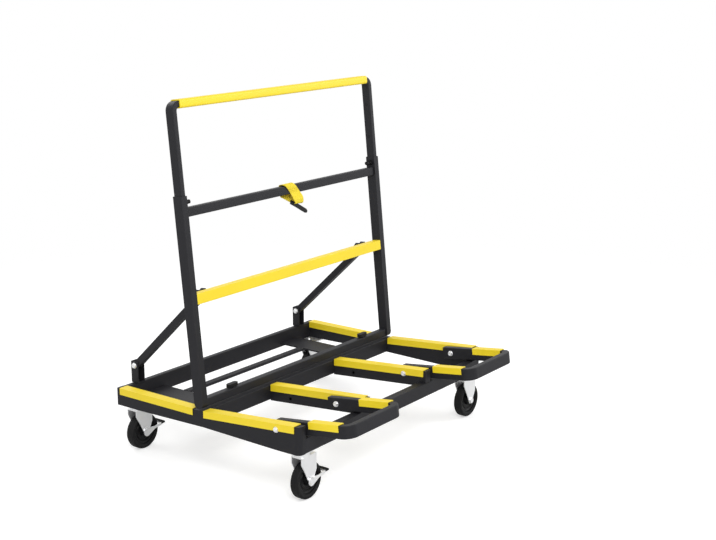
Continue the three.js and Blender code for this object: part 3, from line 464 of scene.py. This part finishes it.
def close_ends(shape):
    """Fills the open ends of a tube and presses a plug a little way into each."""
    wall, draft, sunk = 2 * MM, 0.4 * MM, 1.5 * MM
    holes = [edge for edge in shape.edges if edge.is_boundary]
    if holes:
        bmesh.ops.holes_fill(shape, edges=holes, sides=0)
    bmesh.ops.recalc_face_normals(shape, faces=shape.faces)
    caps = [face for face in shape.faces if len(face.verts) > 8]
    bmesh.ops.inset_individual(shape, faces=caps, thickness=wall, depth=0)
    bmesh.ops.inset_individual(shape, faces=caps, thickness=draft, depth=-sunk)
    if not shape.faces.layers.float.get("edge"):
        shape.faces.layers.float.new("edge")


def lathe(profile, steps, centre, axis="Y"):
    """Spins a closed profile of (radius, along) in metres about Y or X through the centre."""
    shape = bmesh.new()
    verts = [bmesh.ops.create_vert(shape, co=(radius, along, 0))["vert"][0] for radius, along in profile]
    edges = [shape.edges.new((a, b)) for a, b in zip(verts, verts[1:] + verts[:1])]
    bmesh.ops.spin(shape, geom=verts + edges, cent=(0, 0, 0), axis=(0, 1, 0), angle=2 * pi, steps=steps,
                   use_merge=True, use_duplicate=False)
    tidy(shape)
    if axis == "X":
        turn_about(shape, shape.verts, (0, 0, 0), "Z", -pi / 2)
    bmesh.ops.translate(shape, vec=centre, verts=shape.verts)
    return shape


def arc(centre, radius, first, last, steps):
    """Points on an arc, angles in degrees."""
    turns = [radians(first + (last - first) * i / steps) for i in range(steps + 1)]
    return [(centre[0] + radius * cos(turn), centre[1] + radius * sin(turn)) for turn in turns]


def gather(shape, part):
    """Adds a part's mesh to the shape and frees the part."""
    mesh = bpy.data.meshes.new("gathered")
    part.to_mesh(mesh)
    part.free()
    shape.from_mesh(mesh)
    bpy.data.meshes.remove(mesh)


def on_back(x, depth, along):
    """A point of the back frame, from millimetres across, behind its front and along its posts."""
    y = along * sin(LEAN) + depth * cos(LEAN)
    return base_point(x, y, DECK_HEIGHT + along * cos(LEAN) - depth * sin(LEAN))


# Pieces

class CART_OT_frame(bpy.types.Operator):
    """Softens the steel rails, posts, bars, braces and plates of the frame"""
    bl_idname = "cart.frame"
    bl_label = "Steel frame"

    def execute(self, context):
        own = ("upper_frame", "extension_frame_left", "extension_frame_right")
        for node, slot in SLOTS.items():
            if slot == "frame_paint" and node not in own:
                softened(node, sizes().edge_round)
        return {"FINISHED"}


class CART_OT_covers(bpy.types.Operator):
    """Softens the yellow covers and the top sleeve"""
    bl_idname = "cart.covers"
    bl_label = "Covers"

    def execute(self, context):
        for node, slot in SLOTS.items():
            if slot == "cover_plastic":
                softened(node, sizes().cover_round, 3)
        return {"FINISHED"}


class CART_OT_grips(bpy.types.Operator):
    """Softens the latch grips and spring pins"""
    bl_idname = "cart.grips"
    bl_label = "Grips and pins"

    def execute(self, context):
        for node, slot in SLOTS.items():
            if slot == "grip":
                softened(node, GRIP_ROUND, 3)
        return {"FINISHED"}


class CART_OT_casters(bpy.types.Operator):
    """Turns the tyres and hubs, softens the forks, plates and brake pedals and adds the pedals' pads"""
    bl_idname = "cart.casters"
    bl_label = "Casters"

    def execute(self, context):
        for corner in CORNERS:
            low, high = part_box(f"tyre_{corner}")
            centre = (low + high) / 2
            steps = sizes().wheel_steps
            body = f"wheel_{corner}"
            put(f"tyre_{corner}_part", lathe(self.tyre(), steps, centre), body, "tyre", f"tyre_{corner}")
            put(f"hub_{corner}_part", lathe(self.hub(), steps, centre), body, "hub", f"hub_{corner}")
            for node in (f"fork_{corner}", f"caster_plate_{corner}"):
                softened(node, sizes().edge_round)
            if f"brake_pedal_{corner}" in SLOTS:
                softened(f"brake_pedal_{corner}", PEDAL_ROUND)
                self.pad(f"brake_pedal_{corner}")
        return {"FINISHED"}

    def pad(self, node):
        """A ribbed black pad over the pedal's tread."""
        low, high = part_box(node)
        back, lip, tread, thick, overhang = 15 * MM, 2 * MM, 76 * MM, 7 * MM, 3 * MM
        ribs, first, pitch, rib, rib_up, rib_in = 4, 2.6, 3.9, (1.6 * MM, 1.4 * MM), 3.6 * MM, 2 * MM
        near, far, width = high.x - back, high.x + lip, high.y - low.y
        shape = bmesh.new()
        middle = ((near + far) / 2, (low.y + high.y) / 2, tread)
        self.block(shape, middle, (far - near, width + overhang, thick), 1.4 * MM)
        for i in range(ribs):
            spot = (near + (first + i * pitch) * MM, middle[1], tread + rib_up)
            self.block(shape, spot, (rib[0], width - rib_in, rib[1]), 0.4 * MM)
        put(f"{node}_pad", shape, body_of(node), "grip")

    def block(self, shape, centre, size, radius):
        """Adds a box with rounded edges."""
        made = bmesh.new()
        bmesh.ops.create_cube(made, size=1)
        bmesh.ops.scale(made, vec=size, verts=made.verts)
        bmesh.ops.translate(made, vec=centre, verts=made.verts)
        gather(shape, round_edges(made, radius, 2))

    def tyre(self):
        """A rounded tread on a band, with a fine groove where tyre and rim meet."""
        shoulder, side, radius, steps = 55.5, 9.0, 7.0, 8
        crown = arc((shoulder, -side), radius, -90, -10, steps)
        crown += arc((shoulder, side), radius, 10, 90, steps)
        band = [(46.5, 12), (49, 14.5)]
        profile = [(r, -a) for r, a in band] + crown + band[::-1]
        return [(r * MM, a * MM) for r, a in profile]

    def hub(self):
        """A dished web between the rim and the boss, with a raised ring."""
        half = [(6.3, 18.0), (11, 18.0), (16, 17), (17, 12), (19, 4.2), (27, 3.2), (28.5, 5.0), (30.5, 5.0),
                (32, 3.2), (36, 3.4), (39, 8.4), (41, 9.2), (46, 9.2)]
        return [(r * MM, -a * MM) for r, a in half] + [(r * MM, a * MM) for r, a in reversed(half)]


class CART_OT_upper(bpy.types.Operator):
    """Bends the telescoping upper frame from one rounded tube"""
    bl_idname = "cart.upper"
    bl_label = "Upper frame"

    def execute(self, context):
        width, depth, radius = LEG_WIDTH * MM, 33 * MM, 22 * MM
        leg, low, top = LEG_X * MM, 0.570, 0.989
        shape = bmesh.new()
        faces = rounded_section(shape, width, depth, sizes().tube_round)
        bmesh.ops.translate(shape, vec=(-leg, LEG_DEPTH * MM, low), verts=shape.verts)
        ends = pull(shape, faces, (0, 0, top - radius - low))
        ends = bend(shape, ends, (-leg + radius, 0, top - radius), (0, 1, 0), pi / 2, BEND_STEPS)
        ends = pull(shape, ends, (2 * (leg - radius), 0, 0))
        ends = bend(shape, ends, (leg - radius, 0, top - radius), (0, 1, 0), pi / 2, BEND_STEPS)
        pull(shape, ends, (0, 0, low - top + radius))
        tidy(shape)
        close_ends(shape)
        turn_about(shape, shape.verts, (0, 0, 0), "X", -LEAN)
        bmesh.ops.translate(shape, vec=base_point(0, 0, DECK_HEIGHT), verts=shape.verts)
        put("upper_frame_part", shape, "upper", "frame_paint", "upper_frame")
        self.eyelets()
        return {"FINISHED"}

    def eyelets(self):
        """Black eyelets round the height holes on the inner faces of the legs."""
        ring = [(2.6, -0.6), (4.4, -0.6), (5.6, -0.2), (5.6, 0.12), (4.8, 0.3), (3.4, 0.3), (2.6, 0.05)]
        face, steps = LEG_X - LEG_WIDTH / 2, 32
        shape = bmesh.new()
        for along in HEIGHT_HOLES:
            for side in (-1, 1):
                profile = [(r * MM, -side * a * MM) for r, a in ring]
                made = lathe(profile, steps, (0, 0, 0), "X")
                turn_about(made, made.verts, (0, 0, 0), "X", -LEAN)
                bmesh.ops.translate(made, vec=on_back(side * face, LEG_DEPTH, along), verts=made.verts)
                gather(shape, made)
        put("height_eyelets", shape, "upper", "grip")


class CART_OT_extensions(bpy.types.Operator):
    """Bends the two deck extension frames from rounded tube, with plugged arm ends"""
    bl_idname = "cart.extensions"
    bl_label = "Deck extensions"

    def execute(self, context):
        for hand, side in zip(HANDS, (-1, 1)):
            self.frame(hand, side)
        return {"FINISHED"}

    def frame(self, hand, side):
        width, height, reach, radius = 25 * MM, 42 * MM, 288 * MM, 27.5 * MM
        near, far = 203.75 * MM, 490.25 * MM
        inner, outer = near + width / 2, far - width / 2
        front = reach - width / 2
        shape = bmesh.new()
        faces = rounded_section(shape, width, height, sizes().tube_round)
        turn_about(shape, shape.verts, (0, 0, 0), "X", pi / 2)
        bmesh.ops.translate(shape, vec=(inner, 0, -height / 2), verts=shape.verts)
        ends = pull(shape, faces, (0, radius - front, 0))
        ends = bend(shape, ends, (inner + radius, radius - front, 0), (0, 0, 1), pi / 2, BEND_STEPS)
        ends = pull(shape, ends, (outer - inner - 2 * radius, 0, 0))
        ends = bend(shape, ends, (outer - radius, radius - front, 0), (0, 0, 1), pi / 2, BEND_STEPS)
        pull(shape, ends, (0, front - radius, 0))
        tidy(shape)
        close_ends(shape)
        if side < 0:
            bmesh.ops.scale(shape, vec=(-1, 1, 1), verts=shape.verts)
            tidy(shape)
        turn_about(shape, shape.verts, (0, 0, 0), "X", -ARM_TILT)
        bmesh.ops.translate(shape, vec=base_point(0, ARM_ROOT_Y, ARM_ROOT_Z), verts=shape.verts)
        node = f"extension_frame_{hand}"
        put(f"{node}_part", shape, body_of(node), "frame_paint", node)


class CART_OT_fasteners(bpy.types.Operator):
    """Adds the plated bolts on the rails, arms, brace posts and braces"""
    bl_idname = "cart.fasteners"
    bl_label = "Fasteners"

    def execute(self, context):
        guide, brace = (6.0, 7.5), (5.0, 8.0)
        post_half, brace_half = 16, 17.5
        arm_y = ARM_ROOT_Y - ARM_BOLT_OUT * cos(ARM_TILT) - ARM_BOLT_DROP * sin(ARM_TILT)
        arm_z = ARM_ROOT_Z + ARM_BOLT_OUT * sin(ARM_TILT) - ARM_BOLT_DROP * cos(ARM_TILT)
        rails = [(x, RAIL_BOLT_Y, RAIL_BOLT_Z, -1) for x in RAIL_BOLT_X]
        self.bolts("guide_bolts", "base", rails, *guide)
        for hand, x in zip(HANDS, ARM_BOLT_X):
            self.bolts(f"guide_bolt_{hand}", f"extension_{hand}", [(x, arm_y, arm_z, -1)], *guide)
        for hand, side in zip(HANDS, (-1, 1)):
            posts = [(side * BRACE_X + end * post_half, BRACE_POST_Y, BRACE_POST_Z, end) for end in (-1, 1)]
            self.bolts(f"brace_post_bolt_{hand}", "base", posts, *brace)
            top = on_back(0, BRACE_TOP_DEPTH, BRACE_TOP_ALONG) - base_point(0, 0, 0)
            tops = [(side * BRACE_X + end * brace_half, top.y / MM, top.z / MM, end) for end in (-1, 1)]
            self.bolts(f"brace_bolt_{hand}", f"brace_{hand}", tops, *brace)
        return {"FINISHED"}

    def bolts(self, name, body, places, height, radius):
        """Domed caps with a washer over the bolt heads, facing -1 or +1 along X."""
        shape = bmesh.new()
        for x, y, z, end in places:
            made = self.head(height, radius)
            turn_about(made, made.verts, (0, 0, 0), "Y", end * pi / 2)
            bmesh.ops.translate(made, vec=base_point(x, y, z), verts=made.verts)
            gather(shape, made)
        put(name, shape, body, "zinc")

    def head(self, height, radius):
        """A cap a little larger than a head, with a shallow dimple."""
        washer, cap, steps = radius + 2.2, radius + 0.8, 36
        profile = [(0.0, -0.2), (washer, -0.2), (washer, 1.0), (radius + 1.7, 1.5), (cap, 1.5),
                   (cap, height - 1.0), (radius + 0.5, height - 0.2), (radius - 0.4, height + 0.4),
                   (radius * 0.7, height + 0.9), (radius * 0.4, height + 1.1),
                   (radius * 0.34, height + 0.4), (0.0, height + 0.4)]
        shape = bmesh.new()
        verts = [bmesh.ops.create_vert(shape, co=(r * MM, 0, a * MM))["vert"][0] for r, a in profile]
        edges = [shape.edges.new((one, two)) for one, two in zip(verts, verts[1:])]
        bmesh.ops.spin(shape, geom=verts + edges, cent=(0, 0, 0), axis=(0, 0, 1), angle=2 * pi, steps=steps,
                       use_merge=True, use_duplicate=False)
        return tidy(shape)


class CART_OT_strap(bpy.types.Operator):
    """Hangs the webbing loop round the mid cross bar, with its black end and its stitches"""
    bl_idname = "cart.strap"
    bl_label = "Strap"

    def execute(self, context):
        # Pairs of points on the loop's two edges: across, behind the front, along the posts
        keys = [((-19, 33, 663), (40, 33, 663)), ((-20, 4, 664), (31, 4, 664)),
                ((9, 4.2, 631), (61, 4.2, 630)), ((8, -6, 614), (61, -6, 615)),
                ((19, -4, 596), (63, -4, 597)), ((11, 5, 598), (59, 5, 591)),
                ((-14, 18, 616), (44, 18, 603)), ((-19, 33, 628), (38, 33, 628))]
        thick, tip_thick, steps = 1.8, 3.2, 6
        loop = self.smooth(keys, steps)
        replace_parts(self.ribbon("strap_loop", loop, thick, "webbing", True), "strap")
        # The end's middle line, with the share of its half width at each point
        aside = Vector((4.0, 0.5, 6.6))
        path = [((3, 3, 604), 0.9), ((26, -2, 590), 1.0), ((52, -4, 574), 1.0), ((70, -5.6, 563), 1.0),
                ((75, -6, 560), 0.7), ((77, -6.1, 558.8), 0.3)]
        tip = [(on_back(*(Vector(spot) - aside * part)), on_back(*(Vector(spot) + aside * part)))
               for spot, part in path]
        self.ribbon("strap_tip", tip, tip_thick, "grip")
        self.stitches(loop)
        return {"FINISHED"}

    def smooth(self, keys, steps):
        """Runs a closed curve through pairs of edge points, in back-frame millimetres."""
        count = len(keys)
        pairs = []
        for i in range(count * steps):
            part = (i % steps) / steps
            ends = []
            for end in (0, 1):
                a, b, c, d = (Vector(keys[(i // steps + k) % count][end]) for k in (-1, 0, 1, 2))
                bow = (2 * a - 5 * b + 4 * c - d) * part ** 2 + (3 * b - a - 3 * c + d) * part ** 3
                ends.append(on_back(*(b + ((c - a) * part + bow) / 2)))
            pairs.append(tuple(ends))
        return pairs

    def ribbon(self, name, ends, thick, slot, closed=False):
        """Lays a band through pairs of edge points."""
        shape = bmesh.new()
        weave = shape.loops.layers.uv.new("weave")
        edge = shape.edges.new([bmesh.ops.create_vert(shape, co=co)["vert"][0] for co in ends[0]])
        run = 0.0
        for before, after in zip(ends, ends[1:] + ends[:1] if closed else ends[1:]):
            made = bmesh.ops.extrude_edge_only(shape, edges=[edge])["geom"]
            edge = next(item for item in made if isinstance(item, bmesh.types.BMEdge))
            fresh = [item for item in made if isinstance(item, bmesh.types.BMVert)]
            for vert in fresh:
                near = min((0, 1), key=lambda i: (vert.co - before[i]).length)
                vert.co = after[near]
            step = ((after[0] + after[1]) - (before[0] + before[1])).length / 2
            for corner in edge.link_faces[0].loops:
                spot = corner.vert.co
                right = min((spot - before[1]).length, (spot - after[1]).length) < WELD
                far = corner.vert in fresh
                corner[weave].uv = ((after[1] - after[0]).length * right, run + step * far)
            run += step
        bmesh.ops.remove_doubles(shape, verts=shape.verts, dist=WELD)
        bmesh.ops.recalc_face_normals(shape, faces=shape.faces)
        bmesh.ops.solidify(shape, geom=shape.faces[:], thickness=thick * MM)
        bmesh.ops.recalc_face_normals(shape, faces=shape.faces)
        return put(name, shape, "backrest", slot, smooth=50)

    def stitches(self, loop):
        """Two rows of thread across the front of the loop."""
        rows, spaces, size = (9, 10), 15, (2.0 * MM, 0.7 * MM, 0.7 * MM)
        proud = Vector((0, -1.0 * MM, 0))
        shape = bmesh.new()
        for row in rows:
            left, right = loop[row]
            for i in range(1, spaces):
                made = bmesh.ops.create_cube(shape, size=1)["verts"]
                bmesh.ops.scale(shape, vec=size, verts=made)
                spot = left.lerp(right, i / spaces) + proud
                bmesh.ops.translate(shape, vec=spot, verts=made)
        put("strap_stitches", shape, "backrest", "webbing")


class CART_OT_stage(bpy.types.Operator):
    """Sets up the floor, the light and the camera"""
    bl_idname = "cart.stage"
    bl_label = "Studio"

    def execute(self, context):
        scene = context.scene
        scene.view_settings.view_transform = "Standard"
        self.camera(scene)
        self.floor()
        self.world(scene)
        for lamp in LAMPS:
            self.lamp(*lamp)
        return {"FINISHED"}

    def camera(self, scene):
        lens = bpy.data.cameras.new("studio_camera")
        lens.lens = sizes().lens
        lens.sensor_width = 36
        lens.sensor_fit = "HORIZONTAL"
        lens.clip_end = 60
        camera = bpy.data.objects.new("studio_camera", lens)
        place = base_point(*CAMERA_PLACE)
        look = base_point(*CAMERA_AIM) - place
        camera.matrix_world = Matrix.Translation(place) @ look.to_track_quat("-Z", "Y").to_matrix().to_4x4()
        scene.collection.objects.link(camera)
        scene.camera = camera

    def lamp(self, name, place, size, power):
        data = bpy.data.lights.new(name, "AREA")
        data.shape = "DISK"
        data.size = size
        data.energy = power
        lamp = bpy.data.objects.new(name, data)
        aim = Vector(LAMP_AIM) - Vector(place)
        lamp.matrix_world = Matrix.Translation(place) @ aim.to_track_quat("-Z", "Y").to_matrix().to_4x4()
        bpy.context.scene.collection.objects.link(lamp)

    def floor(self):
        shape = bmesh.new()
        bmesh.ops.create_circle(shape, cap_ends=True, segments=96, radius=FLOOR_RADIUS)
        mesh = bpy.data.meshes.new("floor")
        shape.to_mesh(mesh)
        shape.free()
        floor = bpy.data.objects.new("floor", mesh)
        bpy.context.scene.collection.objects.link(floor)
        made, n = material("floor")
        mesh.materials.append(made)
        seen = n.make("ShaderNodeLightPath", out="Is Camera Ray")
        diffuse = n.make("ShaderNodeBsdfDiffuse", None, {"Color": (0.8, 0.8, 0.8, 1)})
        glow = n.make("ShaderNodeEmission", None, {"Color": (1, 1, 1, 1), "Strength": seen * FLOOR_GLOW})
        lit = n.make("ShaderNodeAddShader", None, {0: diffuse, 1: glow})
        place = n.place()
        far = n.make("ShaderNodeVectorMath", {"operation": "LENGTH"}, {0: place}, out="Value")
        fade = n.make("ShaderNodeMapRange", None,
                      {"Value": far, "From Min": FLOOR_FADE[0], "From Max": FLOOR_FADE[1]})
        clear = n.make("ShaderNodeBsdfTransparent")
        n.make("ShaderNodeOutputMaterial", None,
               {"Surface": n.make("ShaderNodeMixShader", None, {0: fade, 1: lit, 2: clear})})

    def world(self, scene):
        world = bpy.data.worlds.new("studio")
        world.use_nodes = True
        scene.world = world
        n = Nodes(world.node_tree)
        path = n.make("ShaderNodeLightPath", out="Is Camera Ray")
        glossy = n.make("ShaderNodeLightPath", out="Is Glossy Ray")
        through = n.make("ShaderNodeLightPath", out="Is Transmission Ray")
        shown = n.make("ShaderNodeMath", {"operation": "MAXIMUM"}, {0: path, 1: glossy})
        shown = n.make("ShaderNodeMath", {"operation": "MAXIMUM"}, {0: shown, 1: through})
        strength = WORLD_LIGHT + shown * (1 - WORLD_LIGHT)
        back = n.make("ShaderNodeBackground", None, {"Color": (1, 1, 1, 1), "Strength": strength})
        n.make("ShaderNodeOutputWorld", None, {"Surface": back})


class CART_PT_panel(bpy.types.Panel):
    """The cart's pieces and finishes"""
    bl_idname = "CART_PT_panel"
    bl_label = "Sheet goods cart"
    bl_space_type = "VIEW_3D"
    bl_region_type = "UI"
    bl_category = "Cart"

    def draw(self, context):
        column = self.layout.column()
        for group in (context.scene.cart_finish, context.scene.cart_sizes):
            for name in group.bl_rna.properties.keys():
                if name not in ("rna_type", "name"):
                    column.prop(group, name)
        for operator in OPERATORS:
            column.operator(operator.bl_idname)


OPERATORS = (CART_OT_stage, CART_OT_frame, CART_OT_covers, CART_OT_grips, CART_OT_upper, CART_OT_extensions,
             CART_OT_casters, CART_OT_fasteners, CART_OT_strap)
CLASSES = (CartFinish, CartSizes, *OPERATORS, CART_PT_panel)


def register():
    for cls in CLASSES:
        bpy.utils.register_class(cls)
    bpy.types.Scene.cart_finish = PointerProperty(type=CartFinish)
    bpy.types.Scene.cart_sizes = PointerProperty(type=CartSizes)


def unregister():
    del bpy.types.Scene.cart_sizes
    del bpy.types.Scene.cart_finish
    for cls in reversed(CLASSES):
        bpy.utils.unregister_class(cls)


def main():
    register()
    for operator in OPERATORS:
        group, name = operator.bl_idname.split(".")
        getattr(getattr(bpy.ops, group), name)()


if __name__ == "__main__":
    main()
